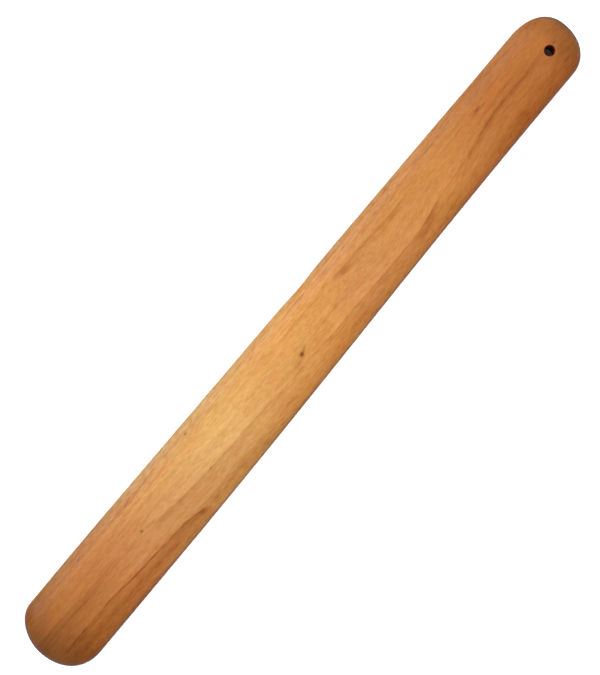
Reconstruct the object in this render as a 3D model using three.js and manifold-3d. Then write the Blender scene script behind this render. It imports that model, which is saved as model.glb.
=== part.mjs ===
// A flat, tapered wooden hand stick, made in one piece: crowned faces, fully rounded
// edges and ends, and one small hole drilled through it near the narrow end.
//
// Millimetres. X runs along the stick towards the narrow end, Y across it, and Z up
// through its thickness. The stick lies flat, with the origin at the bottom centre of
// its bounding box.

import * as THREE from 'three';
import { mergeVertices } from 'three/addons/utils/BufferGeometryUtils.js';
import Module from 'manifold-3d';

// Overall size.
const LENGTH = 450;
const THICKNESS = 12;

// The taper: half the width is constant outside these two places and eases between them.
const WIDE_HALF_WIDTH = 23.45;
const NARROW_HALF_WIDTH = 19.95;
const TAPER_START_X = -180;
const TAPER_END_X = 200;

// The hand-shaped edges wander a little: the centre line is a shallow wave along X.
const WANDER_OFFSET_Y = -0.204;
const WANDER_DEPTH = 0.279;
const WANDER_START_X = -135;
const WANDER_LENGTH = 333;

// The two ends. Each side of an end is a quarter of a superellipse, from the tip to the
// place where it runs into the straight side, `reach` away from the tip along X.
const WIDE_END = {
  tipY: 1.2,
  left: { reach: 16.9, power: 1.85 },
  right: { reach: 22.3, power: 2.22 },
};
const NARROW_END = {
  tipY: 1.0,
  left: { reach: 23.65, power: 2.23 },
  right: { reach: 18.1, power: 2.11 },
};

// The cross-section: a flat land along the middle of each face, then a rounded shoulder
// down to the edge. Towards each tip the faces round over in the same way.
const LAND_SHARE = 0.18;
const SHOULDER_POWER = 2.15;
const TIP_ROUND = { reach: 13, power: 2.1 };

// The drilled hole, and the small chamfer at its two mouths.
const HOLE_X = 207.1;
const HOLE_Y = -2.0;
const HOLE_RADIUS = 3;
const HOLE_CHAMFER = 0.4;
const HOLE_OVERRUN = 1;
const HOLE_SIDES = 32;

// How finely the blank is divided.
const SHOULDER_STEPS = 8;
const LAND_STEPS = 2;
const END_STATIONS = 12;
const END_ZONE = 25;
const BODY_STATIONS = 14;

// The share of its full width or thickness that the stick has at a distance from a tip.
function quarterCurve(distance, { reach, power }) {
  const run = Math.max(1 - distance / reach, 0);
  return (1 - run ** power) ** (1 / power);
}

// The straight sides, without the rounded ends. `side` is +1 for left and -1 for right.
function sideY(x, side) {
  const taper = THREE.MathUtils.smoothstep(x, TAPER_START_X, TAPER_END_X);
  const halfWidth = THREE.MathUtils.lerp(WIDE_HALF_WIDTH, NARROW_HALF_WIDTH, taper);
  const phase = (2 * Math.PI * (x - WANDER_START_X)) / WANDER_LENGTH;
  const centreLine = WANDER_OFFSET_Y - WANDER_DEPTH * Math.sin(phase);
  return centreLine + side * halfWidth;
}

// The outline of the stick as seen from above, with its rounded ends.
function outlineY(x, side) {
  const end = x < 0 ? WIDE_END : NARROW_END;
  const curve = side > 0 ? end.left : end.right;
  const share = quarterCurve(LENGTH / 2 - Math.abs(x), curve);
  return THREE.MathUtils.lerp(end.tipY, sideY(x, side), share);
}

// One quarter of the unit cross-section, from the middle of the face to the edge.
function quarterSection() {
  const points = [];
  for (let i = 0; i < LAND_STEPS / 2; i += 1) {
    points.push({ across: (LAND_SHARE * i) / (LAND_STEPS / 2), up: 1 });
  }
  for (let i = 0; i < SHOULDER_STEPS; i += 1) {
    const angle = (i / SHOULDER_STEPS) * (Math.PI / 2);
    const shoulder = Math.sin(angle) ** (2 / SHOULDER_POWER);
    points.push({
      across: LAND_SHARE + (1 - LAND_SHARE) * shoulder,
      up: Math.cos(angle) ** (2 / SHOULDER_POWER),
    });
  }
  return points;
}

// The whole unit cross-section: `across` and `up` run from -1 to 1, clockwise when seen
// from the narrow end.
function unitSection() {
  const quarter = quarterSection();
  const edge = { across: 1, up: 0 };
  const upperLeft = [...quarter, edge];
  const lowerLeft = quarter.slice().reverse().map(({ across, up }) => ({ across, up: -up }));
  const left = [...upperLeft, ...lowerLeft];
  const right = left.slice(1, -1).reverse().map(({ across, up }) => ({ across: -across, up }));
  return [...left, ...right];
}

// Where the cross-sections stand along X. They crowd together towards each tip.
function stationPlaces() {
  const endPlaces = [];
  for (let i = 1; i <= END_STATIONS; i += 1) {
    endPlaces.push(LENGTH / 2 - END_ZONE * (i / END_STATIONS) ** 2);
  }
  const bodyReach = LENGTH / 2 - END_ZONE;
  const bodyPlaces = [];
  for (let i = 1; i < BODY_STATIONS; i += 1) {
    bodyPlaces.push(THREE.MathUtils.lerp(-bodyReach, bodyReach, i / BODY_STATIONS));
  }
  return [...endPlaces.map((x) => -x), ...bodyPlaces, ...endPlaces.reverse()];
}

// The stick before drilling: cross-sections joined along X and closed at two tip points.
function makeBlank() {
  const section = unitSection();
  const places = stationPlaces();
  const positions = [];
  const faces = [];

  for (const x of places) {
    const left = outlineY(x, 1);
    const right = outlineY(x, -1);
    const middle = (left + right) / 2;
    const halfWidth = (left - right) / 2;
    const share = quarterCurve(LENGTH / 2 - Math.abs(x), TIP_ROUND);
    for (const { across, up } of section) {
      const z = (THICKNESS / 2) * (1 + share * up);
      positions.push(x, middle + halfWidth * across, z);
    }
  }

  const count = section.length;
  for (let ring = 0; ring < places.length - 1; ring += 1) {
    for (let i = 0; i < count; i += 1) {
      const here = ring * count + i;
      const beside = ring * count + ((i + 1) % count);
      faces.push(here, beside + count, beside);
      faces.push(here, here + count, beside + count);
    }
  }

  const wideTip = positions.length / 3;
  const narrowTip = wideTip + 1;
  positions.push(-LENGTH / 2, WIDE_END.tipY, THICKNESS / 2);
  positions.push(LENGTH / 2, NARROW_END.tipY, THICKNESS / 2);
  const lastRing = (places.length - 1) * count;
  for (let i = 0; i < count; i += 1) {
    const next = (i + 1) % count;
    faces.push(wideTip, i, next);
    faces.push(narrowTip, lastRing + next, lastRing + i);
  }

  const blank = new THREE.BufferGeometry();
  blank.setAttribute('position', new THREE.Float32BufferAttribute(positions, 3));
  blank.setIndex(faces);
  return blank;
}

// The drill's path, with a countersink at both faces of the stick.
function makeDrill() {
  const mouth = HOLE_RADIUS + HOLE_CHAMFER + HOLE_OVERRUN;
  const halfThickness = THICKNESS / 2;
  const profile = [
    new THREE.Vector2(0, -halfThickness - HOLE_OVERRUN),
    new THREE.Vector2(mouth, -halfThickness - HOLE_OVERRUN),
    new THREE.Vector2(HOLE_RADIUS, -halfThickness + HOLE_CHAMFER),
    new THREE.Vector2(HOLE_RADIUS, halfThickness - HOLE_CHAMFER),
    new THREE.Vector2(mouth, halfThickness + HOLE_OVERRUN),
    new THREE.Vector2(0, halfThickness + HOLE_OVERRUN),
  ];
  const drill = new THREE.LatheGeometry(profile, HOLE_SIDES);
  drill.rotateX(Math.PI / 2);
  drill.translate(HOLE_X, HOLE_Y, halfThickness);
  return drill;
}

const wasm = await Module();
wasm.setup();

function toSolid(geometry) {
  const bare = geometry.clone();
  bare.deleteAttribute('normal');
  bare.deleteAttribute('uv');
  const merged = mergeVertices(bare);
  return new wasm.Manifold(new wasm.Mesh({
    numProp: 3,
    vertProperties: new Float32Array(merged.attributes.position.array),
    triVerts: new Uint32Array(merged.index.array),
  }));
}

function toGeometry(solid) {
  const { vertProperties, triVerts } = solid.getMesh();
  const geometry = new THREE.BufferGeometry();
  geometry.setAttribute('position', new THREE.BufferAttribute(vertProperties, 3));
  geometry.setIndex(new THREE.BufferAttribute(triVerts, 1));
  geometry.computeVertexNormals();
  return geometry;
}

// The drilled stick, moved so that the origin is at the bottom centre of its box.
function makeStick() {
  const geometry = toGeometry(toSolid(makeBlank()).subtract(toSolid(makeDrill())));
  geometry.computeBoundingBox();
  const { min, max } = geometry.boundingBox;
  geometry.translate(-(min.x + max.x) / 2, -(min.y + max.y) / 2, -min.z);
  const oiledWood = new THREE.MeshStandardMaterial({
    color: 0xc98545,
    roughness: 0.42,
    metalness: 0,
  });
  const stick = new THREE.Mesh(geometry, oiledWood);
  stick.name = 'wooden_stick';
  return stick;
}

const devilStick = new THREE.Group();
devilStick.add(makeStick());

export default devilStick;
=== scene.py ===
"""A flat, tapered wooden hand stick with a drilled hanging hole, on a pale studio floor.

Metres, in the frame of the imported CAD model: X runs along the stick towards the narrow
end, Y across it and Z up. Shapes and grain are worked out in millimetres first.
"""

import math

import bpy
import numpy as np
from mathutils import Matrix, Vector, noise


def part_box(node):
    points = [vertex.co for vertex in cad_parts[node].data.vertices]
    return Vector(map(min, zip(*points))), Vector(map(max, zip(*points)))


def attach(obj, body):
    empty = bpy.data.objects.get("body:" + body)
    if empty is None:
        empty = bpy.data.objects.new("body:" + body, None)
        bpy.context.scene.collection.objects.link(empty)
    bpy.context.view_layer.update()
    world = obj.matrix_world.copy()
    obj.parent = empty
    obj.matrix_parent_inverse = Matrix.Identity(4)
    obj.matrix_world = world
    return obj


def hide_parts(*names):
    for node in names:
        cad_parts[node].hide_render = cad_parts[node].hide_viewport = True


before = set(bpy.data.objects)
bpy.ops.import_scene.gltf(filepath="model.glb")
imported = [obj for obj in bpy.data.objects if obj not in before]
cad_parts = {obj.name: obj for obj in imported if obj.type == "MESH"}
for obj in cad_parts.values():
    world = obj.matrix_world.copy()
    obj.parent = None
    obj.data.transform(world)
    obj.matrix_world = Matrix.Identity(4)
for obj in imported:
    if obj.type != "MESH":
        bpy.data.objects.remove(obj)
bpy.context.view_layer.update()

MM = 0.001  # metres in a millimetre

# --- The stick's size, in millimetres -----------------------------------------------

node_low, node_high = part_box("wooden_stick")
LENGTH = (node_high.x - node_low.x) / MM
THICKNESS = (node_high.z - node_low.z) / MM
HALF_LENGTH = LENGTH / 2
HALF_THICKNESS = THICKNESS / 2

WIDE_HALF_WIDTH = 23.45
NARROW_HALF_WIDTH = 19.95
TAPER_START_X = -180
TAPER_END_X = 200
SMALLEST_HALF_WIDTH = 1e-6  # keeps the tips, which have no width, from dividing by zero

# The whole outline wanders a little to each side, as one slow wave.
WANDER_OFFSET_Y = -0.204
WANDER_DEPTH = 0.279
WANDER_START_X = -135
WANDER_LENGTH = 333

# Each rounded end: where across the stick its tip lies, and how far each corner's round
# reaches along the stick, with its power. A power of 2 is an ellipse.
WIDE_END = {"tip_y": 1.2, "left": (16.9, 1.85), "right": (22.3, 2.22)}
NARROW_END = {"tip_y": 1.0, "left": (23.65, 2.23), "right": (18.1, 2.11)}

# The crown: a flat middle band, shoulders that curve down to the rim, and the reach and
# power of the round that the thickness has at both tips.
LAND_SHARE = 0.18
SHOULDER_POWER = 2.15
TIP_ROUND = (13, 2.1)

HOLE_X = 207.1
HOLE_Y = -2.0
HOLE_RADIUS = 3.0
HOLE_LIP = 0.5


def smooth_step(value, low, high):
    share = np.clip((value - low) / (high - low), 0, 1)
    return share * share * (3 - 2 * share)


def quarter_curve(distance, reach, power):
    """The share of its full size that the stick has at a distance from a tip."""
    run = np.clip(1 - distance / reach, 0, 1)
    return (1 - run**power) ** (1 / power)


def side_y(x, side):
    """The straight sides, without the rounded ends. side is +1 for left, -1 for right."""
    taper = smooth_step(x, TAPER_START_X, TAPER_END_X)
    half_width = WIDE_HALF_WIDTH + (NARROW_HALF_WIDTH - WIDE_HALF_WIDTH) * taper
    phase = 2 * math.pi * (x - WANDER_START_X) / WANDER_LENGTH
    return WANDER_OFFSET_Y - WANDER_DEPTH * math.sin(phase) + side * half_width


def end_at(x):
    return WIDE_END if x < 0 else NARROW_END


def outline_y(x, side):
    """The outline as seen from above, with its rounded ends."""
    end = end_at(x)
    reach, power = end["left"] if side > 0 else end["right"]
    share = quarter_curve(HALF_LENGTH - abs(x), reach, power)
    return end["tip_y"] + (side_y(x, side) - end["tip_y"]) * share


def width_at(x):
    """The middle and the half-width of the outline at a place along the stick."""
    left = outline_y(x, 1)
    right = outline_y(x, -1)
    return (left + right) / 2, max((left - right) / 2, SMALLEST_HALF_WIDTH)


def half_height(x, y):
    """Half the stick's thickness at a place inside the outline."""
    middle, half_width = width_at(x)
    across = min(abs(y - middle) / half_width, 1)
    shoulder = max((across - LAND_SHARE) / (1 - LAND_SHARE), 0)
    section = max(1 - shoulder**SHOULDER_POWER, 0) ** (1 / SHOULDER_POWER)
    return HALF_THICKNESS * section * quarter_curve(HALF_LENGTH - abs(x), *TIP_ROUND)


# --- The mesh's layout: a grid inside, rings to the rim, and spokes round the hole ----

GRID_END_X = 214.5  # where the grid's end columns stand
GRID_END_BULGE = 2.0  # how far the middles of those columns bow outwards
GRID_END_RAMP = 34  # how far from the ends the columns start to bow
GRID_SHARE = 0.5  # the share of the stick's width that the grid takes up
GRID_ROWS = 18
GRID_COLUMNS = 312
HOLE_CELLS = 10  # the hole's spokes replace this many rows and columns of cells
HOLE_CELL_SIZE = 1.1
CORNER_ANGLE = math.pi / 4  # where on an end's round the grid's corners are joined
RIM_RINGS = 16
HOLE_RINGS = 7
HOLE_RING_POWER = 0.85  # below 1, the rings stand closer together near the hole
LIP_STEPS = 5
WALL_STEPS = 8


def grid_columns():
    """Where the grid's columns stand along X. They are closer round the hole."""
    hole_start = HOLE_X - HOLE_CELLS * HOLE_CELL_SIZE / 2
    hole_end = HOLE_X + HOLE_CELLS * HOLE_CELL_SIZE / 2
    before = np.linspace(-GRID_END_X, hole_start, GRID_COLUMNS - HOLE_CELLS)
    across_hole = np.linspace(hole_start, hole_end, HOLE_CELLS + 1)
    return np.concatenate([before, across_hole[1:], [GRID_END_X]])


def grid_shares():
    """Where the grid's rows lie across it, from -1 to 1."""
    return np.linspace(-1, 1, GRID_ROWS + 1)


def end_ramp(x):
    """0 along the middle of the grid, rising to 1 at its end columns."""
    return smooth_step(abs(x), GRID_END_X - GRID_END_RAMP, GRID_END_X)


def grid_point(x, share):
    """A point of the inner grid. share runs from -1 to 1 across it."""
    bulge = GRID_END_BULGE * (1 - share * share) * end_ramp(x)
    x += math.copysign(bulge, x)
    left = side_y(x, 1)
    right = side_y(x, -1)
    middle = (left + right) / 2
    return x, middle + share * GRID_SHARE * (left - right) / 2


def end_arc_point(direction, angle_share):
    """A point on an end's round. direction is -1 for the wide end and 1 for the narrow
    one. angle_share is 0 at the tip, and -1 or 1 where the grid's corner is joined."""
    end = end_at(direction)
    side = 1 if angle_share > 0 else -1
    reach, power = end["left"] if side > 0 else end["right"]
    angle = abs(angle_share) * CORNER_ANGLE
    distance = reach * (1 - math.cos(angle) ** (2 / power))
    share = math.sin(angle) ** (2 / power)
    x = direction * (HALF_LENGTH - distance)
    return x, end["tip_y"] + (side_y(x, side) - end["tip_y"]) * share


def rim_point(x, side):
    """The outline point that a place on the grid's long side is joined to."""
    direction = -1 if x < 0 else 1
    corner_x, _ = end_arc_point(direction, side)
    x += (corner_x - direction * GRID_END_X) * end_ramp(x)
    return x, outline_y(x, side)


def ring_shares():
    """How far each ring lies from the grid's edge (0) to the rim (1). The rings crowd
    together towards the rim, so that they are evenly spaced round the shoulder."""
    start = (GRID_SHARE - LAND_SHARE) / (1 - LAND_SHARE)
    first_angle = math.asin(start ** (SHOULDER_POWER / 2))
    angles = np.linspace(first_angle, math.pi / 2, RIM_RINGS + 1)[1:]
    return (np.sin(angles) ** (2 / SHOULDER_POWER) - start) / (1 - start)


def rim_loop():
    """The grid's edge and the outline point for each place on it, anticlockwise."""
    columns = grid_columns()
    shares = grid_shares()
    loop = []
    for i, x in enumerate(columns[:-1]):
        loop.append(((i, 0), rim_point(x, -1)))
    for j, share in enumerate(shares[:-1]):
        loop.append(((len(columns) - 1, j), end_arc_point(1, share)))
    for i in range(len(columns) - 1, 0, -1):
        loop.append(((i, GRID_ROWS), rim_point(columns[i], 1)))
    for j in range(GRID_ROWS, 0, -1):
        loop.append(((0, j), end_arc_point(-1, shares[j])))
    return loop


def hole_block():
    """The block of grid cells that the hole's spokes replace: first column and row."""
    middle_column = int(np.argmin(abs(grid_columns() - HOLE_X)))
    rows = [abs(grid_point(HOLE_X, share)[1] - HOLE_Y) for share in grid_shares()]
    middle_row = int(np.argmin(rows))
    return middle_column - HOLE_CELLS // 2, middle_row - HOLE_CELLS // 2


def block_loop(first_column, first_row):
    """The grid places round the hole's block, anticlockwise."""
    last_column = first_column + HOLE_CELLS
    last_row = first_row + HOLE_CELLS
    loop = [(i, first_row) for i in range(first_column, last_column)]
    loop += [(last_column, j) for j in range(first_row, last_row)]
    loop += [(i, last_row) for i in range(last_column, first_column, -1)]
    loop += [(first_column, j) for j in range(last_row, first_row, -1)]
    return loop


def between(start, end, share):
    """The place that lies a share of the way from start to end."""
    x = start[0] + (end[0] - start[0]) * share
    y = start[1] + (end[1] - start[1]) * share
    return x, y


def place_round_hole(radius, turn):
    return HOLE_X + radius * math.cos(turn), HOLE_Y + radius * math.sin(turn)


# --- Marks that the hand and use left on the surface ---------------------------------

# Shallow waves in both faces: length, width, height, and where in the noise each face
# reads them, as a step for the face and an offset.
WAVES = [
    (62, 21, 0.11, 4.0, 0),
    (19, 6.5, 0.05, 9.0, 2),
]
WAVE_LEVEL = 0.6  # how far the waves' middle lies below the ideal face, in wave heights

KNOT_X = -6.0
KNOT_Y = -3.9

# Each shallow dent: x, y, face (+1 upper, -1 lower), half-length, half-width, depth and
# turn in degrees. The last one is where the knot has sunk.
DENTS = [
    (-171, 8.5, 1, 3.2, 1.3, 0.16, 24),
    (-64, -13.5, 1, 2.2, 1.1, 0.13, -38),
    (83, 12.4, 1, 2.6, 1.2, 0.14, 62),
    (131, -11.8, 1, 4.0, 0.8, 0.12, 12),
    (-203, -3.1, 1, 2.0, 1.5, 0.12, 0),
    (-118, 5.5, -1, 3.4, 1.4, 0.18, 40),
    (37, -9.4, -1, 2.4, 1.2, 0.14, -15),
    (166, 6.8, -1, 3.0, 1.0, 0.15, 70),
    (-201, 10.2, -1, 2.6, 1.8, 0.16, 10),
    (KNOT_X, KNOT_Y, 1, 3.4, 1.3, 0.12, 14),
]
DENT_REACH = 4  # how many half-lengths from its middle a dent is still felt

# The edges wander inwards by up to twice this depth.
EDGE_WANDER = 0.03
EDGE_WANDER_LENGTH = 37
EDGE_WANDER_SIDE = 11.0  # where in the noise each side reads its wander
EDGE_WANDER_PLACE = 3.1

# Each worn stretch of an edge: x, side, depth and half its length. A depth below zero
# is a stretch where even the wander has been left out.
EDGE_FLATS = [
    (20, 1, 0.5, 11),
    (172, 1, 0.1, 25),
    (214, 1, 0.25, 9),
    (-96, -1, -0.1, 28),
]


def local_offset(x, y, centre_x, centre_y, turn):
    """A place seen from a mark's own centre and long axis."""
    dx = x - centre_x
    dy = y - centre_y
    along = dx * math.cos(turn) + dy * math.sin(turn)
    across = dy * math.cos(turn) - dx * math.sin(turn)
    return along, across


def surface_wear(x, y, face):
    """How far the hand-finished face lies below the ideal one, in millimetres."""
    depth = 0
    for length, width, height, face_step, offset in WAVES:
        place = Vector((x / length, y / width, face_step * face + offset))
        depth += height * (WAVE_LEVEL + noise.noise(place))
    for dent_x, dent_y, dent_face, length, width, sink, turn in DENTS:
        if dent_face == face and abs(x - dent_x) < DENT_REACH * length:
            along, across = local_offset(x, y, dent_x, dent_y, math.radians(turn))
            depth += sink * math.exp(-((along / length) ** 2) - (across / width) ** 2)
    return max(depth, 0)


def edge_wear(x, side):
    """How far a hand-shaped edge lies inside the ideal one, in narrow half-widths."""
    place = Vector((x / EDGE_WANDER_LENGTH, EDGE_WANDER_SIDE * side, EDGE_WANDER_PLACE))
    depth = EDGE_WANDER * (1 + noise.noise(place))
    for flat_x, flat_side, sink, reach in EDGE_FLATS:
        if flat_side == side:
            depth += sink * math.exp(-(((x - flat_x) / reach) ** 2))
    return max(depth, 0) / NARROW_HALF_WIDTH


def finished_point(x, y, face, height=None):
    """A point of the ideal surface, moved inwards by the marks. face is 0 on the rim."""
    middle, half_width = width_at(x)
    if height is None:
        height = half_height(x, y)
    level = height / HALF_THICKNESS
    wear = surface_wear(x, y, face) * level if face else 0
    side = 1 if y > middle else -1
    pull = edge_wear(x, side) * smooth_step(abs(y - middle), 0, half_width)
    z = HALF_THICKNESS + face * max(height - wear, 0)
    return x, middle + (y - middle) * (1 - pull), z


# --- The mesh itself -----------------------------------------------------------------


class MeshMaker:
    """Collects points and four-sided faces, in millimetres. Wherever face is given, it
    is 1 for the upper face of the stick and -1 for the lower one."""

    def __init__(self):
        self.points = []
        self.faces = []

    def point(self, place):
        self.points.append(place)
        return len(self.points) - 1

    def quad(self, corners, face):
        self.faces.append(corners if face > 0 else corners[::-1])

    def band(self, first, second, face):
        """The faces between two closed loops of points."""
        for i in range(len(first)):
            j = (i + 1) % len(first)
            self.quad((first[i], first[j], second[j], second[i]), face)


def add_grid(maker, face, block):
    """The middle of a face, with the hole's block left out. Returns the point and the
    x and y of each place in the grid."""
    first_column, first_row = block
    last_column = first_column + HOLE_CELLS
    last_row = first_row + HOLE_CELLS
    columns = grid_columns()
    ids = {}
    places = {}
    for i, x in enumerate(columns):
        for j, share in enumerate(grid_shares()):
            if not (first_column < i < last_column and first_row < j < last_row):
                places[i, j] = grid_point(x, share)
                ids[i, j] = maker.point(finished_point(*places[i, j], face))
    for i in range(len(columns) - 1):
        for j in range(GRID_ROWS):
            if not (first_column <= i < last_column and first_row <= j < last_row):
                corners = (ids[i, j], ids[i + 1, j], ids[i + 1, j + 1], ids[i, j + 1])
                maker.quad(corners, face)
    return ids, places


def add_shoulder(maker, face, rim, ids, places):
    """The rings from the grid's edge to the rim that both faces share."""
    loop = rim_loop()
    inner = [ids[key] for key, _ in loop]
    for share in ring_shares()[:-1]:
        outer = []
        for key, rim_place in loop:
            x, y = between(places[key], rim_place, share)
            outer.append(maker.point(finished_point(x, y, face)))
        maker.band(outer, inner, face)
        inner = outer
    maker.band(rim, inner, face)


def add_hole_mouth(maker, face, block, ids, places):
    """The rings from the grid in to the hole and over its rounded lip. Returns the loop
    of points where the lip meets the hole's wall."""
    keys = block_loop(*block)
    first_x, first_y = places[keys[0]]
    first_turn = math.atan2(first_y - HOLE_Y, first_x - HOLE_X)
    turns = np.linspace(0, 2 * math.pi, len(keys), endpoint=False) + first_turn
    lip_start = HOLE_RADIUS + HOLE_LIP
    outer = [ids[key] for key in keys]
    for ring in range(1, HOLE_RINGS + 1):
        share = (ring / HOLE_RINGS) ** HOLE_RING_POWER
        inner = []
        for key, turn in zip(keys, turns):
            x, y = between(places[key], place_round_hole(lip_start, turn), share)
            inner.append(maker.point(finished_point(x, y, face)))
        maker.band(outer, inner, face)
        outer = inner
    for step in range(1, LIP_STEPS + 1):
        angle = step / LIP_STEPS * math.pi / 2
        radius = lip_start - HOLE_LIP * math.sin(angle)
        inner = []
        for turn in turns:
            x, y = place_round_hole(radius, turn)
            _, _, z = finished_point(x, y, face)
            z -= face * HOLE_LIP * (1 - math.cos(angle))
            inner.append(maker.point((x, y, z)))
        maker.band(outer, inner, face)
        outer = inner
    return outer


def add_face(maker, face, rim):
    """One face of the stick, from the shared rim to where the hole's wall starts."""
    block = hole_block()
    ids, places = add_grid(maker, face, block)
    add_shoulder(maker, face, rim, ids, places)
    return add_hole_mouth(maker, face, block, ids, places)


def add_wall(maker, upper, lower):
    """The hole's wall, between the loops that end its upper and lower lips."""
    above = upper
    for step in range(1, WALL_STEPS):
        below = []
        for top, bottom in zip(upper, lower):
            high = Vector(maker.points[top])
            low = Vector(maker.points[bottom])
            below.append(maker.point(tuple(high.lerp(low, step / WALL_STEPS))))
        maker.band(above, below, 1)
        above = below
    maker.band(above, lower, 1)


def build_stick():
    maker = MeshMaker()
    rim = [maker.point(finished_point(x, y, 0, 0)) for _, (x, y) in rim_loop()]
    upper = add_face(maker, 1, rim)
    lower = add_face(maker, -1, rim)
    add_wall(maker, upper, lower)

    mesh = bpy.data.meshes.new("carved_stick")
    points = np.array(maker.points) * MM
    mesh.from_pydata(points.tolist(), [], maker.faces)
    mesh.validate()
    mesh.shade_smooth()
    stick = bpy.data.objects.new("carved_stick", mesh)
    bpy.context.scene.collection.objects.link(stick)
    return stick


# --- The wood: its colours and marks --------------------------------------------------

# The wood's colour along the stick: golden in the middle, browner and darker towards both
# ends. The darkening is partly the wood's own, where hands and oil have darkened the
# ends, and partly painted shade where the light falls off towards the ends; the very tips
# are darkest. Each stop is a place in millimetres and a linear colour.
TONE_AND_SHADE_ALONG = [
    (-225, (0.110, 0.041, 0.011)),
    (-212, (0.240, 0.080, 0.018)),
    (-195, (0.345, 0.131, 0.030)),
    (-160, (0.436, 0.180, 0.055)),
    (-115, (0.528, 0.272, 0.099)),
    (-68, (0.605, 0.355, 0.134)),
    (-25, (0.568, 0.292, 0.094)),
    (15, (0.580, 0.281, 0.082)),
    (35, (0.558, 0.264, 0.090)),
    (60, (0.518, 0.241, 0.079)),
    (120, (0.482, 0.203, 0.056)),
    (170, (0.383, 0.134, 0.030)),
    (203, (0.370, 0.132, 0.030)),
    (219, (0.272, 0.097, 0.024)),
    (225, (0.125, 0.046, 0.013)),
]
# How the colour deepens across the stick, from the right edge (-1) to the left (1). Both
# shoulders are darker than the middle: partly the wood's own redder shoulders, and partly
# painted shade set to how the light falls across the crown.
TONE_AND_SHADE_ACROSS = [
    (-1.0, (0.86, 0.80, 0.70)),
    (-0.85, (0.93, 0.85, 0.72)),
    (-0.7, (0.94, 0.86, 0.77)),
    (-0.55, (1.01, 0.98, 0.98)),
    (-0.2, (1.02, 1.03, 1.05)),
    (0.1, (1.00, 1.00, 1.00)),
    (0.35, (1.00, 0.99, 0.93)),
    (0.65, (0.90, 0.84, 0.64)),
    (0.85, (0.78, 0.81, 0.74)),
    (1.0, (0.76, 0.80, 0.72)),
]

# What the colour is multiplied by in each kind of mark, with an alpha of 1.
VEIN_TINT = (0.60, 0.42, 0.22, 1)
SPECK_TINT = (0.40, 0.23, 0.10, 1)
RED_TINT = (1.00, 0.80, 0.60, 1)
OLIVE_TINT = (0.86, 0.92, 0.58, 1)
# Painted shade on the rim, for its dark band and the dark line along its edges.
RIM_SHADE_TINT = (0.36, 0.26, 0.20, 1)
RUST_TINT = (0.66, 0.40, 0.30, 1)
# Painted sheen: lifts the left edge towards a greyish-blue highlight.
SHEEN_TINT = (0.82, 1.05, 1.75, 1)
# Painted shade for the hole's wall.
WALL_SHADE_TINT = (0.60, 0.27, 0.17, 1)
PALE_GAIN = (0.30, 0.34, 0.36)  # how strongly a pale mark lifts each channel

# How far the grain swings to the left at each place along the stick. It swings fully
# to the right of the first y below, and not at all to the left of the second.
GRAIN_FLOW = [
    (-225, 8.5), (-205, 8.6), (-188, 7.3), (-160, 6.3), (-128, 2.9), (-98, -0.9),
    (-62, -2.9), (-31, -4.8), (-10, -5.7), (20, -6.3), (48, -6.3), (67, -7.4),
    (94, -5.1), (130, -1.5), (152, 1.9), (172, 3.6), (200, 4.2), (225, 4.2),
]
FLOW_FULL_Y = -7.0
FLOW_NONE_Y = 14.0

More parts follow.
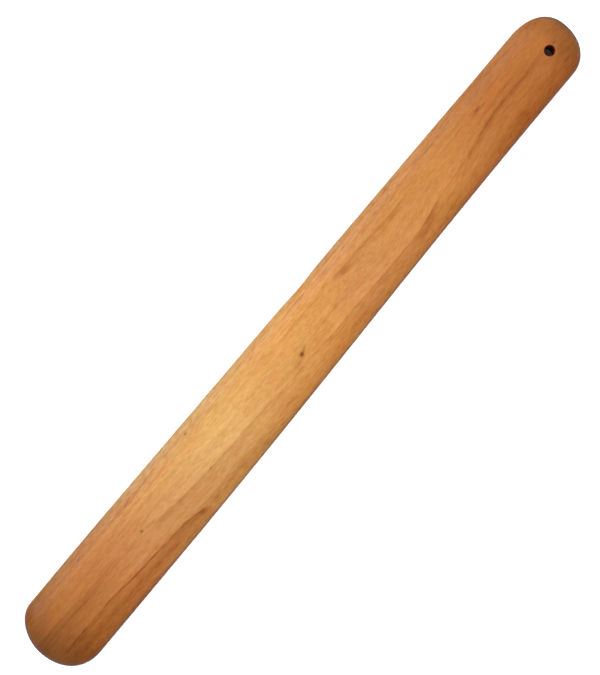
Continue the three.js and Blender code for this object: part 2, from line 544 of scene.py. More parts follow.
# Dark lines in the grain. Each has its path as places in millimetres, the darkness of
# the line along X, and its half-width. Where the wood on its right is darker too, step
# is that darkness along X and reach is how far it goes.
VEINS = [
    {
        "path": [(-217, -11.6), (-210, -9.4), (-190, -9.5), (-175, -9.8), (-162, -11.2),
                 (-146, -12.3), (-128, -13.5), (-119, -14.3), (-112, -15.6),
                 (-103, -18.5)],
        "line": [(-219, 0), (-211, 0.5), (-204, 0.68), (-196, 0.5), (-180, 0.52),
                 (-166, 0.75), (-150, 0.7), (-136, 0.5), (-121, 0.7), (-109, 0.3),
                 (-103, 0)],
        "step": [(-216, 0), (-208, 0.18), (-190, 0.26), (-170, 0.32), (-150, 0.34),
                 (-128, 0.42), (-110, 0.5), (-102, 0)],
        "width": 0.62,
        "reach": 13,
    },
    {
        "path": [(-206, -11.0), (-186, -11.2), (-170, -12.2)],
        "line": [(-208, 0), (-203, 0.35), (-190, 0.3), (-176, 0)],
        "width": 0.5,
    },
    {
        "path": [(-224, 4.0), (-210, 4.9), (-198, 4.3), (-182, 3.2), (-164, 3.0),
                 (-150, 1.4), (-136, 1.3), (-126, -1.2), (-108, -3.6), (-90, -5.1),
                 (-66, -6.5), (-42, -7.1), (-24, -9.0)],
        "line": [(-226, 0), (-216, 0.16), (-200, 0.24), (-184, 0.2), (-160, 0.1),
                 (-140, 0.14), (-120, 0.2), (-100, 0.18), (-84, 0.24), (-60, 0.24),
                 (-40, 0.28), (-22, 0)],
        "step": [(-225, 0.08), (-204, 0.3), (-188, 0.3), (-170, 0.18), (-146, 0.1),
                 (-126, 0.28), (-108, 0.38), (-84, 0.38), (-54, 0.33), (-40, 0.3),
                 (-27, 0)],
        "width": 0.7,
        "reach": 11,
    },
    {
        "path": [(-24, -9.2), (-6, -8.9), (12, -10), (36, -10), (54, -10.6), (72, -10.9),
                 (90, -10.0), (104, -7.8), (120, -6.1), (132, -4.9), (140, -3.9)],
        "line": [(-24, 0), (-12, 0.34), (10, 0.3), (40, 0.2), (54, 0.4), (66, 0.4),
                 (86, 0.2), (100, 0.42), (114, 0.2), (126, 0.24), (141, 0)],
        "step": [(-2, 0), (12, 0.22), (36, 0.3), (54, 0.36), (66, 0.2), (80, 0.34),
                 (94, 0.52), (104, 0.32), (114, 0.08), (126, 0.22), (141, 0)],
        "width": 0.6,
        "reach": 7,
    },
    {
        "path": [(134, -4.0), (144, -3.0), (150, -1.5), (160, -0.3), (172, 0.2),
                 (188, 0.2), (206, 0.8)],
        "line": [(134, 0), (144, 0.34), (150, 0.28), (162, 0.4), (172, 0.36), (186, 0.38),
                 (196, 0.3), (207, 0)],
        "step": [(134, 0), (146, 0.42), (155, 0.5), (166, 0.34), (180, 0.34), (196, 0.26),
                 (208, 0)],
        "width": 1.0,
        "reach": 4.5,
    },
    {
        "path": [(36, 10), (42, 9.4), (54, 9.2), (66, 8.5), (80, 8), (97, 8)],
        "line": [(37, 0), (42, 0.3), (50, 0.26), (60, 0.42), (68, 0.3), (80, 0.38),
                 (90, 0.3), (98, 0)],
        "step": [(35, 0), (41, 0.5), (50, 0.42), (60, 0.3), (70, 0.22), (80, 0.34),
                 (90, 0.22), (98, 0)],
        "width": 0.6,
        "reach": 5,
    },
    {
        "path": [(-150, 13.6), (-117, 13.9), (-100, 14.8), (-86, 15.2), (-57, 14.6)],
        "line": [(-152, 0), (-135, 0.22), (-118, 0.3), (-92, 0.25), (-75, 0.3), (-56, 0)],
        "width": 0.5,
    },
    {
        "path": [(-146, 17.4), (-120, 17.2), (-102, 17.8), (-60, 17.4), (-18, 18.0)],
        "line": [(-148, 0), (-130, 0.28), (-110, 0.12), (-80, 0.28), (-40, 0.15),
                 (-16, 0)],
        "width": 0.5,
    },
    {
        "path": [(-4, 16.3), (20, 16.1), (36, 15.6), (64, 15.9)],
        "line": [(-6, 0), (6, 0.3), (15, 0.5), (24, 0.25), (34, 0.36), (66, 0)],
        "step": [(-6, 0), (12, 0.1), (30, 0.1), (66, 0)],
        "width": 0.42,
        "reach": 3,
    },
    {
        "path": [(82, 17.6), (110, 17.2), (120, 14.6), (140, 15), (160, 15.6),
                 (200, 15.2)],
        "line": [(80, 0), (96, 0.25), (112, 0.2), (128, 0.38), (142, 0.3), (156, 0.12),
                 (178, 0.26), (203, 0)],
        "width": 0.5,
    },
    {
        "path": [(-222, 1.8), (-210, 1.5), (-192, 0.6), (-176, 0.3)],
        "line": [(-225, 0.1), (-210, 0.2), (-192, 0.28), (-174, 0)],
        "width": 0.7,
    },
    {
        "path": [(150, 2.6), (168, 3.6), (190, 4.4)],
        "line": [(146, 0), (158, 0.2), (170, 0.25), (182, 0.18), (194, 0)],
        "width": 0.5,
    },
    {
        "path": [(4, -2.4), (20, -1.4), (34, -0.9)],
        "line": [(0, 0), (12, 0.28), (24, 0.2), (36, 0)],
        "step": [(0, 0), (12, 0.15), (24, 0.12), (38, 0)],
        "width": 0.7,
        "reach": 3,
    },
]

# Soft areas of darker, paler and greener wood: x, y, half-length, half-width, turn in
# degrees and strength.
DARK_AREAS = [
    (-206, -16, 16, 5.0, 0, 0.14),
    (-207, -9, 11, 6.5, 0, 0.34),
    (-165, -17, 36, 3.0, 0, 0.26),
    (-109, -18.5, 7, 2.4, 0, 0.20),
    (-114, -11.5, 32, 3.0, -2, 0.14),
    (-6.9, -3.9, 1.3, 1.0, 10, 0.5),
    (-86, -17, 26, 2.4, 0, 0.26),
    (-85, -9.5, 34, 3.0, -3, 0.06),
    (-62, 13, 26, 3.0, 0, 0.10),
    (-11, -6.2, 7, 1.4, 0, 0.16),
    (4, -6.4, 15, 2.6, -4, 0.20),
    (20, -17, 20, 2.4, 0, 0.28),
    (38, -1.5, 9, 2.6, 0, 0.22),
    (43.5, 7.2, 3.6, 1.4, -8, 0.24),
    (95, -11, 9, 2.0, 8, 0.16),
    (90, -13.8, 4, 0.9, 8, 0.22),
    (154, -2.2, 6, 1.2, 8, 0.12),
    (172, -13.6, 5, 1.2, 0, 0.20),
    (192, -14, 22, 4.5, 0, 0.14),
    (160, 3.6, 8, 0.8, 4, 0.14),
    (211, -10, 8, 8.5, 0, 0.42),
]
PALE_AREAS = [
    (-194, 17.5, 20, 2.4, 0, 0.30),
    (-206, 5.5, 9, 4.0, 0, 0.20),
    (-196, 8.8, 18, 3.0, -1, 0.22),
    (-150, 14.9, 24, 1.3, 0, 0.14),
    (-118, 12.6, 22, 3.0, -2, 0.20),
    (-66, 6, 40, 6, 0, 0.14),
    (-20, 12.5, 46, 3.2, 0, 0.14),
    (-122, 1.6, 12, 1.0, -6, 0.16),
    (-64, -4.4, 26, 1.1, -3, 0.16),
    (-47, -11.5, 14, 2.4, 0, 0.32),
    (-6, -7.6, 12, 0.8, -2, 0.22),
    (70, -7.4, 18, 2.6, 0, 0.12),
    (113, -4, 14, 1.8, 8, 0.16),
    (122, 2, 10, 2.6, 4, 0.14),
    (112, -9, 16, 3.2, 8, 0.24),
    (152, 0.7, 8, 0.9, 8, 0.14),
    (210, 3.4, 7, 2.4, 0, 0.50),
]
OLIVE_AREAS = [
    (-217, -1, 6, 9, 0, 0.5),
    (-211, -14, 9, 6, 0, 0.8),
    (-186, -14, 10, 3, 0, 0.35),
    (108, -15, 11, 3.5, 0, 0.6),
    (158, -13.5, 10, 2.6, 0, 0.6),
    (173, -11, 7, 1.4, 0, 0.35),
    (219, -10, 5, 6, 0, 0.6),
    (-50, 14.6, 26, 2.2, 0, 0.3),
    (12, 8, 14, 5, 0, 0.35),
    (80, 9, 30, 6.5, 0, 0.36),
    (160, 13.6, 40, 3.2, 0, 0.45),
    (-202, 17.6, 16, 3, 0, 0.40),
]

# Dark specks, and rust-coloured dashes and patches, in the same terms.
SPECKS = [
    (-138, 1.6, 0.85, 0.7, 0, 0.9),
    (-81.7, 17.4, 0.8, 0.6, 0, 0.9),
    (-98, 17.4, 0.6, 0.45, 0, 0.35),
    (-70, 11.2, 0.7, 0.4, 0, 0.25),
    (39, 4.4, 0.7, 0.4, -20, 0.5),
    (72, 4.2, 0.7, 0.4, 0, 0.25),
    (88.5, -13.6, 1.6, 0.5, 10, 0.4),
    (-87, -5.4, 1.3, 0.4, 0, 0.4),
    (-173, 18.4, 0.6, 0.45, 0, 0.3),
    (-11.5, -6.2, 2.6, 0.7, 8, 0.26),
    (-13.4, -8.7, 1.5, 0.5, 4, 0.3),
    (174, -13.2, 2.2, 0.45, 0, 0.35),
    (213.8, -0.9, 1.1, 0.5, -12, 0.55),
    (-6.8, -3.9, 1.5, 1.2, 10, 1.0),
    (-3.9, -3.0, 2.6, 0.9, 20, 0.5),
]
RUSTY_MARKS = [
    (157.8, 8.0, 2.7, 0.85, 4, 1.0),
    (162, 7.0, 3.0, 0.6, 4, 0.25),
    (43.5, 7.6, 3.8, 1.5, -8, 0.35),
    (14.5, 16.2, 4.0, 0.6, 0, 0.4),
    (-130, -17, 13, 3.0, 0, 0.22),
    (-70, -17.2, 15, 2.8, 0, 0.32),
    (36, -17.4, 13, 2.6, 0, 0.20),
]

# Layers of streaks along the grain: length, width, detail, seed and strength. The first
# and the third only colour the wood; the second and the last also shape its finish.
STREAK_LAYERS = [
    (130, 6.0, 2, 3.1, 0.13),
    (30, 1.8, 3, 11.7, 0.14),
    (5, 1.2, 3, 41.9, 0.18),
    (3.5, 0.45, 2, 29.3, 0.25),
]
MEDIUM_LAYER = 1
FINE_LAYER = 3
STREAK_LEVEL = 0.22  # how much the wood is tinted where there is no streak
STREAK_DEPTH = 2.2  # how far a streak goes into the wood, in streak widths
STREAK_CONTRAST = 4.0  # stretches noise, which stays near 0.5, to about -1 to 1

# Soft noise in the wood: its length, width and depth in millimetres, and its seed.
BLOTCHES = (7, 2.6, 5, 0)
PATCHES = (13, 4.5, 6, 57)
BLOTCH_DETAIL = 3

# The stick's width as the colours see it: a straight taper about a shifted middle.
MEAN_HALF_WIDTH = 21.75
HALF_WIDTH_SLOPE = -0.0092
MIDDLE_SHIFT = 0.2

# Every fade below is a low and a high value, and if they aren't 0 and 1, the results
# that it gives at the two.
#
# Blotches: both shoulders are redder, more blotched and more streaked than the middle.
SHOULDER_RAGGED = 0.5
SHOULDER_FADE = (0.86, 1.12)
SHOULDER_REDNESS = 0.28
SHOULDER_STREAKS = 0.5
RED_FADE = (0.42, 0.72, 0, 0.45)
OLIVE_FADE = (0.5, 0.74, 0, 0.45)
UNEVEN_FADE = (0.3, 0.7, 0.6, 1.4)

# Veins: their lines wander and come and go. SHORE_FADE is the border of the darker wood
# beside one.
VEIN_WANDER = 0.6
VEIN_WANDER_LENGTH = 6
VEIN_WANDER_DETAIL = 2
VEIN_PATCH_LENGTH = 5
VEIN_PATCH_WIDTH = 1.6
VEIN_PATCH_PLACE = 7
VEIN_PATCH_DETAIL = 3
VEIN_PATCH_FADE = (0.3, 0.68, 0.6, 1.35)
SHORE_FADE = (-0.45, 0.35, 1, 0)

# The rim. Its levels are 0 halfway up the stick and 1 at both faces. The darkened band is
# painted shade where the rim turns away from the light, strongest on the right side, and
# it is wider and stronger at the tips: TIP_RIM_START and TIP_RIM_END are added to its
# start and end there.
UPPER_FADE = (HALF_THICKNESS, THICKNESS * 0.75)
TIP_FADE = (208, 222)
RIM_START = 0.16
RIM_END = 0.46
TIP_RIM_START = 0.10
TIP_RIM_END = 0.16
RIM_SIDE_FADE = (-0.6, 0.6, 0.85, 0.35)
# Where the painted sheen along the left edge lies, across the stick and up the rim.
SHEEN_SIDE_FADE = (0.86, 0.97)
SHEEN_LEVEL_FADE = (0.1, 0.35)
# The painted shade line along the right edge and round both tips.
SHADE_LINE_LEVEL_FADE = (0.22, 0.66, 1, 0)
SHADE_LINE_SIDE_FADE = (-0.7, -0.3, 0.12, 0)
TIP_SHADE_LINE_STRENGTH = 0.7

# The hole: its wall darkened with painted shade, and the paler ring worn round its mouth,
# by the distance from the wall.
WALL_SHADE_FADE = (0, 0.4, 1, 0)
MOUTH_RING_STARTS = (0.3, 0.6, 0, 0.3)
MOUTH_RING_ENDS = (0.7, 1.6, 1, 0)

# The finish: rubbed with oil, and a little rougher along the streaks and veins.
ROUGHNESS = 0.46
STREAK_ROUGHNESS = 0.03
VEIN_ROUGHNESS = 0.08
SPECULAR = 0.14
FINE_GROOVES = -0.5
BUMP_STRENGTH = 0.35
BUMP_HEIGHT = 0.05

GRAIN_LEAN = 0.35  # how far the grain moves across for each millimetre of depth
FIGURE_SCALE = 1.0075  # the marks were placed on the face, which looks a little larger
KNOT_SWIRL = 0.85  # how strongly the grain parts round the knot
KNOT_REACH = 8.0
KNOT_SPREAD = 3.0
X_SPAN = 230  # curves along the stick run from minus to plus this
Y_SPAN = 26

# The sockets of Blender's Mix node when it mixes colours.
MIX_A = 6
MIX_B = 7
MIX_RESULT = 2


class Graph:
    """Builds a material's nodes. Numbers and sockets can be mixed as inputs."""

    def __init__(self, name):
        self.material = bpy.data.materials.new(name)
        self.material.use_nodes = True
        self.tree = self.material.node_tree
        self.shader = self.tree.nodes["Principled BSDF"]

    def node(self, kind, **settings):
        node = self.tree.nodes.new(kind)
        for key, value in settings.items():
            setattr(node, key, value)
        return node

    def feed(self, socket, value):
        if isinstance(value, bpy.types.NodeSocket):
            self.tree.links.new(value, socket)
        else:
            socket.default_value = value

    def math(self, operation, *values, clamp=False):
        node = self.node("ShaderNodeMath", operation=operation, use_clamp=clamp)
        for socket, value in zip(node.inputs, values):
            self.feed(socket, value)
        return node.outputs[0]

    def vector(self, x, y, z):
        node = self.node("ShaderNodeCombineXYZ")
        for socket, value in zip(node.inputs, (x, y, z)):
            self.feed(socket, value)
        return node.outputs[0]

    def fade(self, value, low, high, start=0.0, end=1.0):
        """Eases from start to end as value goes from low to high."""
        node = self.node("ShaderNodeMapRange", interpolation_type="SMOOTHSTEP")
        for socket, item in zip(node.inputs, (value, low, high, start, end)):
            self.feed(socket, item)
        return node.outputs[0]

    def ramp(self, value, stops):
        """A colour that follows value through the stops, each a value and a colour."""
        low = stops[0][0]
        high = stops[-1][0]
        share = self.math("DIVIDE", self.math("SUBTRACT", value, low), high - low)
        node = self.node("ShaderNodeValToRGB")
        elements = node.color_ramp.elements
        while len(elements) < len(stops):
            elements.new(0.5)
        for element, (place, colour) in zip(elements, stops):
            element.position = (place - low) / (high - low)
            element.color = (*colour, 1)
        self.feed(node.inputs[0], share)
        return node.outputs[0]

    def curve(self, share, points, low, high):
        """A smooth curve along the stick through points, each an X and a result between
        low and high. share is how far along X_SPAN the wood lies."""
        node = self.node("ShaderNodeFloatCurve")
        places = []
        for x, result in points:
            places.append(((x + X_SPAN) / (2 * X_SPAN), (result - low) / (high - low)))
        curve = node.mapping.curves[0]
        curve.points[0].location = places[0]
        curve.points[1].location = places[-1]
        for place in places[1:-1]:
            curve.points.new(*place)
        node.mapping.extend = "HORIZONTAL"
        node.mapping.update()
        self.feed(node.inputs["Value"], share)
        return self.math("MULTIPLY_ADD", node.outputs[0], high - low, low)

    def noise(self, vector, detail):
        node = self.node("ShaderNodeTexNoise")
        self.feed(node.inputs["Vector"], vector)
        node.inputs["Scale"].default_value = 1.0
        node.inputs["Detail"].default_value = detail
        node.inputs["Roughness"].default_value = 0.5
        return node.outputs[0]

    def mix(self, blend, colour, factor, other):
        """Blends another colour into the first, as far as factor says."""
        node = self.node("ShaderNodeMix", data_type="RGBA", blend_type=blend)
        self.feed(node.inputs["Factor"], factor)
        self.feed(node.inputs[MIX_A], colour)
        self.feed(node.inputs[MIX_B], other)
        return node.outputs[MIX_RESULT]

    def tint(self, colour, factor, tint):
        """Multiplies colour by tint, as far as factor says."""
        return self.mix("MULTIPLY", colour, factor, tint)

    def lighten(self, colour, factor):
        """Makes a colour paler, as far as factor says."""
        return self.mix("DODGE", colour, factor, (*PALE_GAIN, 1))

    def bell(self, along, across):
        """1 at the middle, falling away smoothly where along or across reaches 1."""
        square = self.math("MULTIPLY", across, across)
        square = self.math("MULTIPLY_ADD", along, along, square)
        return self.math("EXPONENT", self.math("MULTIPLY", square, -1.0))

    def blob(self, x, y, mark):
        """The mask of one oval mark, times its strength."""
        mark_x, mark_y, length, width, turn, strength = mark
        angle = math.radians(turn)
        dx = self.math("SUBTRACT", x, mark_x)
        dy = self.math("SUBTRACT", y, mark_y)
        along = self.math("MULTIPLY", dx, math.cos(angle) / length)
        along = self.math("MULTIPLY_ADD", dy, math.sin(angle) / length, along)
        across = self.math("MULTIPLY", dy, math.cos(angle) / width)
        across = self.math("MULTIPLY_ADD", dx, -math.sin(angle) / width, across)
        return self.math("MULTIPLY", self.bell(along, across), strength)

    def blobs(self, x, y, marks):
        return self.total([self.blob(x, y, mark) for mark in marks])

    def total(self, values):
        result = values[0]
        for value in values[1:]:
            result = self.math("ADD", result, value)
        return result


class WoodPlaces:
    """Where a point of the stick lies, in millimetres, for each part of the pattern."""

    def __init__(self, graph):
        place = graph.node("ShaderNodeTexCoord").outputs["Object"]
        scaled = graph.node("ShaderNodeVectorMath", operation="SCALE")
        graph.feed(scaled.inputs[0], place)
        scaled.inputs["Scale"].default_value = 1 / MM
        split = graph.node("ShaderNodeSeparateXYZ")
        graph.feed(split.inputs[0], scaled.outputs[0])
        self.x, self.y, self.z = split.outputs
        self.place_grain(graph)
        self.place_sides(graph)

    def place_grain(self, graph):
        """Where the point lies in the grain, which leans, swirls and flows."""
        self.mark_x = graph.math("MULTIPLY", self.x, FIGURE_SCALE)
        self.mark_y = graph.math("MULTIPLY", self.y, FIGURE_SCALE)
        # The grain leans as it goes down through the wood.
        sunk = graph.math("SUBTRACT", self.z, THICKNESS)
        self.grain_y = graph.math("MULTIPLY_ADD", sunk, GRAIN_LEAN, self.mark_y)
        # It swirls round the knot.
        from_knot = graph.math("SUBTRACT", self.mark_x, KNOT_X)
        along = graph.math("DIVIDE", from_knot, KNOT_REACH)
        offset = graph.math("SUBTRACT", self.grain_y, KNOT_Y)
        across = graph.math("DIVIDE", offset, KNOT_SPREAD)
        swirl = graph.math("MULTIPLY", graph.bell(along, across), -KNOT_SWIRL)
        self.swirled_y = graph.math("MULTIPLY_ADD", offset, swirl, self.grain_y)
        # Streaks follow the main flow, which fades out towards the left edge.
        shifted = graph.math("ADD", self.mark_x, X_SPAN)
        self.share = graph.math("DIVIDE", shifted, 2 * X_SPAN)
        flow = graph.curve(self.share, GRAIN_FLOW, -Y_SPAN, Y_SPAN)
        pull = graph.fade(self.grain_y, FLOW_FULL_Y, FLOW_NONE_Y, -1, 0)
        self.flowing_y = graph.math("MULTIPLY_ADD", flow, pull, self.swirled_y)

    def place_sides(self, graph):
        """How near the point is to the stick's edges, rim, upper face and tips."""
        half_width = graph.math("MULTIPLY_ADD", self.x, HALF_WIDTH_SLOPE, MEAN_HALF_WIDTH)
        shifted = graph.math("ADD", self.y, MIDDLE_SHIFT)
        self.across = graph.math("DIVIDE", shifted, half_width)
        height = graph.math("ABSOLUTE", graph.math("SUBTRACT", self.z, HALF_THICKNESS))
        self.level = graph.math("DIVIDE", height, HALF_THICKNESS)
        self.upper = graph.fade(self.z, *UPPER_FADE)
        self.near_tip = graph.fade(graph.math("ABSOLUTE", self.x), *TIP_FADE)


def wood_noise(graph, places, length, width, depth, seed, detail):
    """Noise that is drawn out along the grain, from 0 to 1."""
    vector = graph.vector(
        graph.math("MULTIPLY_ADD", places.x, 1 / length, seed),
        graph.math("DIVIDE", places.flowing_y, width),
        graph.math("DIVIDE", places.z, depth),
    )
    return graph.noise(vector, detail)


def streaks(graph, places, length, width, detail, seed):
    """Fine streaks along the grain, from about -1 to 1."""
    depth = width * STREAK_DEPTH
    value = wood_noise(graph, places, length, width, depth, seed, detail)
    return graph.math("MULTIPLY_ADD", value, STREAK_CONTRAST, -STREAK_CONTRAST / 2)


def vein_places(graph, places):
    """The wandering y that the veins are read at, and how strong they are there."""
    run = graph.math("DIVIDE", places.x, VEIN_WANDER_LENGTH)
    wander = graph.noise(graph.vector(run, 0, 0), VEIN_WANDER_DETAIL)
    start_y = graph.math("SUBTRACT", places.swirled_y, VEIN_WANDER / 2)
    wandering_y = graph.math("MULTIPLY_ADD", wander, VEIN_WANDER, start_y)
    patch_place = graph.vector(
        graph.math("DIVIDE", places.x, VEIN_PATCH_LENGTH),
        graph.math("DIVIDE", places.y, VEIN_PATCH_WIDTH),
        VEIN_PATCH_PLACE,
    )
    patchy = graph.noise(patch_place, VEIN_PATCH_DETAIL)
    return wandering_y, graph.fade(patchy, *VEIN_PATCH_FADE)


def vein_mask(graph, places):
    """All the dark lines in the grain together, from 0 to 1."""
    wandering_y, patchy = vein_places(graph, places)
    masks = []
    for vein in VEINS:
        middle = graph.curve(places.share, vein["path"], -Y_SPAN, Y_SPAN)
        offset = graph.math("SUBTRACT", wandering_y, middle)
        line = graph.bell(0.0, graph.math("DIVIDE", offset, vein["width"]))
        line = graph.math("MULTIPLY", line, patchy)
        strength = graph.curve(places.share, vein["line"], 0, 1)
        masks.append(graph.math("MULTIPLY", line, strength))
        if "step" in vein:
            shore = graph.fade(offset, *SHORE_FADE)
            depth = graph.fade(offset, -vein["reach"], -vein["width"])
            depth = graph.math("MULTIPLY", depth, shore)
            strength = graph.curve(places.share, vein["step"], 0, 1)
            masks.append(graph.math("MULTIPLY", depth, strength))
    return graph.math("MINIMUM", graph.total(masks), 1.0)


def paint_tones_and_shade(graph, places):
    """The colour that changes slowly along and across the stick, with painted shade
    towards both ends and on both shoulders.
    """
    colour = graph.ramp(places.x, TONE_AND_SHADE_ALONG)
    return graph.tint(colour, 1.0, graph.ramp(places.across, TONE_AND_SHADE_ACROSS))


def paint_hues(graph, places, colour, blotches, shoulder):
    """The redder and the greener places in the wood."""
    redness = graph.fade(blotches, *RED_FADE)
    redness = graph.math("MULTIPLY_ADD", shoulder, SHOULDER_REDNESS, redness)
    colour = graph.tint(colour, graph.math("MINIMUM", redness, 1.0), RED_TINT)
    patches = wood_noise(graph, places, *PATCHES, BLOTCH_DETAIL)
    olive = graph.blobs(places.mark_x, places.mark_y, OLIVE_AREAS)
    olive = graph.math("ADD", olive, graph.fade(patches, *OLIVE_FADE))
    return graph.tint(colour, graph.math("MINIMUM", olive, 1.0), OLIVE_TINT)


def paint_streaks(graph, colour, layers, shoulder):
    shades = []
    for layer, (*_, strength) in zip(layers, STREAK_LAYERS):
        shades.append(graph.math("MULTIPLY", layer, strength))
    contrast = graph.math("MULTIPLY_ADD", shoulder, SHOULDER_STREAKS, 1.0)
    shade = graph.math("MULTIPLY", graph.total(shades), contrast)
    shade = graph.math("ADD", shade, STREAK_LEVEL, clamp=True)
    return graph.tint(colour, shade, VEIN_TINT)


def paint_areas(graph, places, colour, blotches):
    """The soft darker and paler areas, with blotched borders."""
    uneven = graph.fade(blotches, *UNEVEN_FADE)
    dark = graph.blobs(places.mark_x, places.grain_y, DARK_AREAS)
    dark = graph.math("MINIMUM", graph.math("MULTIPLY", dark, uneven), 1.0)
    pale = graph.blobs(places.mark_x, places.grain_y, PALE_AREAS)
    pale = graph.math("MINIMUM", graph.math("MULTIPLY", pale, uneven), 1.0)
    return graph.lighten(graph.tint(colour, dark, VEIN_TINT), pale)


def paint_marks(graph, places, colour):
    """The specks and rust-coloured marks, which only the upper face has."""
    for marks, tint in ((SPECKS, SPECK_TINT), (RUSTY_MARKS, RUST_TINT)):
        mask = graph.blobs(places.mark_x, places.mark_y, marks)
        mask = graph.math("MULTIPLY", mask, places.upper, clamp=True)
        colour = graph.tint(colour, mask, tint)
    return colour


def paint_rim_shade_and_sheen(graph, places, colour):
    """The rim's painted shade, a dark band and a dark line along the right edge and round
    both tips, and a painted sheen along the left edge."""
    # Painted shade: the rim darkened where it turns away from the light, most on the
    # right side and at both tips.
    start = graph.math("MULTIPLY_ADD", places.near_tip, TIP_RIM_START, RIM_START)
    end = graph.math("MULTIPLY_ADD", places.near_tip, TIP_RIM_END, RIM_END)
    strength = graph.fade(places.across, *RIM_SIDE_FADE)
    strength = graph.math("MAXIMUM", strength, places.near_tip)
    rim = graph.math("MULTIPLY", graph.fade(places.level, start, end, 1, 0), strength)
    colour = graph.tint(colour, rim, RIM_SHADE_TINT)

    # Painted sheen: a thin greyish-blue highlight along the left edge of the upper face,
    # where the edge catches the light.
    worn = graph.math(
        "MULTIPLY",
        graph.fade(places.across, *SHEEN_SIDE_FADE),
        graph.fade(places.level, *SHEEN_LEVEL_FADE),
    )
    worn = graph.math("MULTIPLY", worn, places.upper)
    colour = graph.tint(colour, worn, SHEEN_TINT)

    # Painted shade: a dark line along the right edge and round both tips, where the edge
    # rolls away from the light.
    shade_line_at_side = graph.fade(places.across, *SHADE_LINE_SIDE_FADE)
    shade_line_at_tip = graph.math("MULTIPLY", places.near_tip, TIP_SHADE_LINE_STRENGTH)
    strength = graph.math("MAXIMUM", shade_line_at_side, shade_line_at_tip)
    line = graph.fade(places.level, *SHADE_LINE_LEVEL_FADE)
    return graph.tint(colour, graph.math("MULTIPLY", line, strength), RIM_SHADE_TINT)


def paint_hole(graph, places, colour):
    """The hole's wall darkened with painted shade, and the slightly paler ring worn round
    its mouth.
    """
    dx = graph.math("SUBTRACT", places.x, HOLE_X)
    dy = graph.math("SUBTRACT", places.y, HOLE_Y)
    square = graph.math("MULTIPLY_ADD", dx, dx, graph.math("MULTIPLY", dy, dy))
    distance = graph.math("SUBTRACT", graph.math("SQRT", square), HOLE_RADIUS)
    # Painted shade darkens the hole's wall.
    colour = graph.tint(colour, graph.fade(distance, *WALL_SHADE_FADE), WALL_SHADE_TINT)
    ring = graph.fade(distance, *MOUTH_RING_STARTS)
    ring = graph.math("MULTIPLY", ring, graph.fade(distance, *MOUTH_RING_ENDS))
    return graph.lighten(colour, ring)


def add_finish(graph, medium, fine, veins):
    """The oiled wood's roughness, gloss and fine relief."""
    rough = graph.math("MULTIPLY_ADD", medium, STREAK_ROUGHNESS, ROUGHNESS)
    rough = graph.math("MULTIPLY_ADD", fine, STREAK_ROUGHNESS, rough)
    rough = graph.math("MULTIPLY_ADD", veins, VEIN_ROUGHNESS, rough)
    graph.feed(graph.shader.inputs["Roughness"], rough)
    graph.shader.inputs["Specular IOR Level"].default_value = SPECULAR
    bump = graph.node("ShaderNodeBump")
    bump.inputs["Strength"].default_value = BUMP_STRENGTH
    bump.inputs["Distance"].default_value = BUMP_HEIGHT * MM
    height = graph.math("MULTIPLY_ADD", fine, FINE_GROOVES, medium)
    graph.feed(bump.inputs["Height"], height)
    graph.feed(graph.shader.inputs["Normal"], bump.outputs[0])


def make_wood():
    graph = Graph("oiled_wood")
    places = WoodPlaces(graph)
    layers = [streaks(graph, places, *layer[:4]) for layer in STREAK_LAYERS]
    veins = vein_mask(graph, places)
    blotches = wood_noise(graph, places, *BLOTCHES, BLOTCH_DETAIL)
    from_middle = graph.math("ABSOLUTE", places.across)
    ragged = graph.math("MULTIPLY_ADD", blotches, SHOULDER_RAGGED, from_middle)
    shoulder = graph.fade(ragged, *SHOULDER_FADE)

    colour = paint_tones_and_shade(graph, places)
    colour = paint_hues(graph, places, colour, blotches, shoulder)
    colour = paint_streaks(graph, colour, layers, shoulder)
    colour = paint_areas(graph, places, colour, blotches)
    colour = graph.tint(colour, veins, VEIN_TINT)
    colour = paint_marks(graph, places, colour)
    colour = paint_rim_shade_and_sheen(graph, places, colour)
    colour = paint_hole(graph, places, colour)
    graph.feed(graph.shader.inputs["Base Color"], colour)
    add_finish(graph, layers[MEDIUM_LAYER], layers[FINE_LAYER], veins)
    return graph.material


# --- Studio --------------------------------------------------------------------------

FLOOR_SIZE = 12.0
FLOOR_DROP = 0.0002
FLOOR_COLOUR = (0.94, 0.94, 0.94)
FLOOR_ROUGHNESS = 0.9
CAMERA_DISTANCE = 0.8
CAMERA_TURN = math.radians(-50.263)
VIEW_HEIGHT = 0.37112  # how much the view takes in at the rim's level, on its long side
SENSOR = 36.0
AIM_X = -0.00041
AIM_Y = 0.00276

KEY_TILT = math.radians(37)
KEY_STRENGTH = 3.75
KEY_ANGLE = 20
FLOOR_LIGHT_TILT = math.radians(50)
FLOOR_LIGHT_STRENGTH = 4.0
FLOOR_LIGHT_ANGLE = 30

# The room's brightness by height, from 0 at the horizon to 1 straight overhead.
ROOM_LEVELS = [(0.22, 1.02), (0.5, 0.46), (0.9, 0.46), (0.97, 0.10)]


def add_floor():
    bpy.ops.mesh.primitive_plane_add(size=FLOOR_SIZE, location=(0, 0, -FLOOR_DROP))
    floor = bpy.context.object
    floor.name = "studio_floor"
    material = bpy.data.materials.new("studio_floor")
    material.use_nodes = True
    shader = material.node_tree.nodes["Principled BSDF"]
    shader.inputs["Base Color"].default_value = (*FLOOR_COLOUR, 1)
    shader.inputs["Roughness"].default_value = FLOOR_ROUGHNESS
    floor.data.materials.append(material)
    return floor


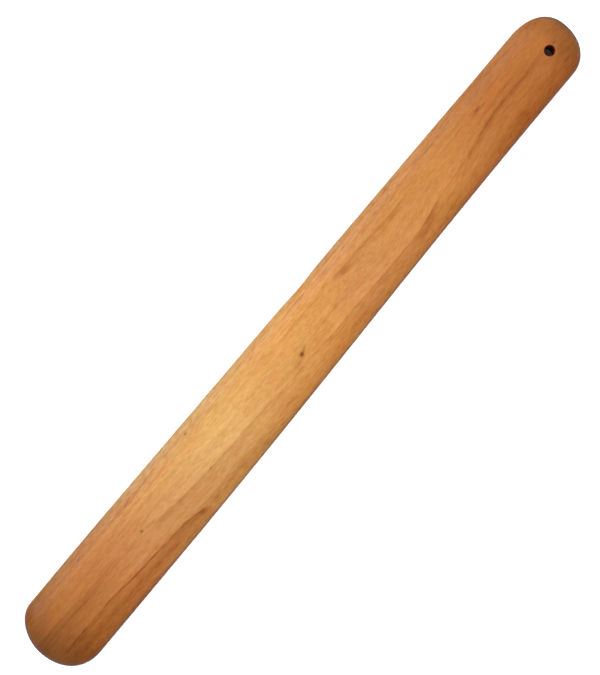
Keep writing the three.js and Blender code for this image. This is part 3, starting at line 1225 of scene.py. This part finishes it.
def add_camera():
    data = bpy.data.cameras.new("camera")
    data.sensor_width = SENSOR
    data.lens = SENSOR * CAMERA_DISTANCE / VIEW_HEIGHT
    camera = bpy.data.objects.new("camera", data)
    bpy.context.scene.collection.objects.link(camera)
    rim_level = HALF_THICKNESS * MM
    camera.location = (AIM_X, AIM_Y, rim_level + CAMERA_DISTANCE)
    camera.rotation_euler = (0, 0, CAMERA_TURN)
    bpy.context.scene.camera = camera


def add_sun(name, strength, angle, direction):
    """A far-off soft light. direction points from the stick towards the light."""
    data = bpy.data.lights.new(name, "SUN")
    data.energy = strength
    data.angle = math.radians(angle)
    sun = bpy.data.objects.new(name, data)
    bpy.context.scene.collection.objects.link(sun)
    sun.rotation_euler = Vector(direction).to_track_quat("Z", "Y").to_euler()
    return sun


def add_key_light():
    """The photo's soft light, from the stick's left side."""
    direction = (0, math.sin(KEY_TILT), math.cos(KEY_TILT))
    add_sun("key", KEY_STRENGTH, KEY_ANGLE, direction)


def add_floor_light(floor):
    """A sun that only the floor receives. It all but removes the stick's shadow."""
    direction = (0, -math.sin(FLOOR_LIGHT_TILT), math.cos(FLOOR_LIGHT_TILT))
    light = add_sun("floor_light", FLOOR_LIGHT_STRENGTH, FLOOR_LIGHT_ANGLE, direction)
    lit = bpy.data.collections.new("lit_by_floor_light")
    lit.objects.link(floor)
    light.light_linking.receiver_collection = lit


def add_world():
    """A soft white room: bright walls, a dimmer ceiling, and a dark spot overhead."""
    world = bpy.data.worlds.new("studio")
    world.use_nodes = True
    tree = world.node_tree
    background = tree.nodes["Background"]
    place = tree.nodes.new("ShaderNodeTexCoord")
    split = tree.nodes.new("ShaderNodeSeparateXYZ")
    room = tree.nodes.new("ShaderNodeValToRGB")
    elements = room.color_ramp.elements
    while len(elements) < len(ROOM_LEVELS):
        elements.new(0.5)
    for element, (height, level) in zip(elements, ROOM_LEVELS):
        element.position = height
        element.color = (level, level, level, 1)
    tree.links.new(place.outputs["Generated"], split.inputs[0])
    tree.links.new(split.outputs[2], room.inputs[0])
    tree.links.new(room.outputs[0], background.inputs["Color"])
    bpy.context.scene.world = world


# --- The scene -----------------------------------------------------------------------

floor = add_floor()
add_camera()
add_key_light()
add_floor_light(floor)
add_world()
bpy.context.scene.view_settings.view_transform = "Standard"

stick = build_stick()
stick.data.materials.append(make_wood())
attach(stick, "root")
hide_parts("wooden_stick")
